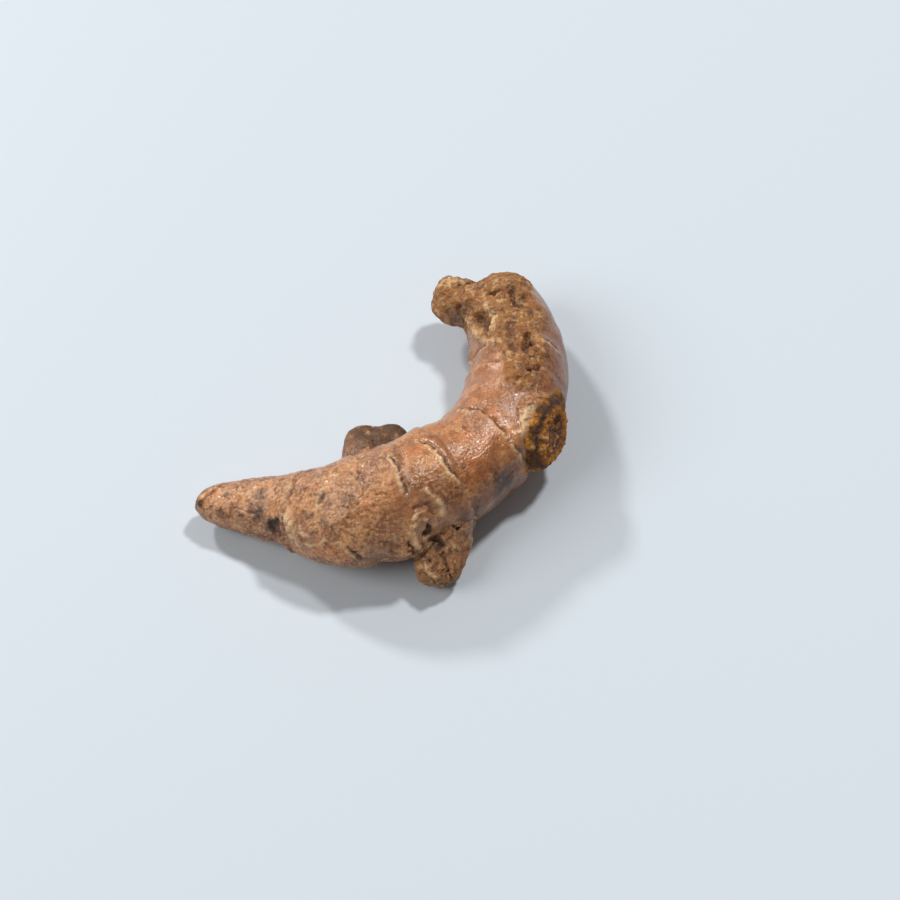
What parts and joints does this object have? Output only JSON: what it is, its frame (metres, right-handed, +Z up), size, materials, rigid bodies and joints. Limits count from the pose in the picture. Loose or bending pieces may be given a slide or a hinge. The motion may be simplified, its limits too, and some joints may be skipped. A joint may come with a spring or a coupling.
{
  "type": "turmeric root",
  "caption": "Fresh turmeric rhizome, hooked, with leaf-scar rings, a tapered tip, a broken corky crown and short side shoots.",
  "frame": {"origin": "on the table under the middle of the rhizome's box, in X and Y", "axes": "+Z up from the table, -X towards the pointed tip, +Y towards the broken crown"},
  "size_m": [0.08, 0.077, 0.025],
  "materials": {
    "skin": "satin"
  },
  "bodies": {
    "root": {"rhizome": "skin"}
  },
  "joints": []
}
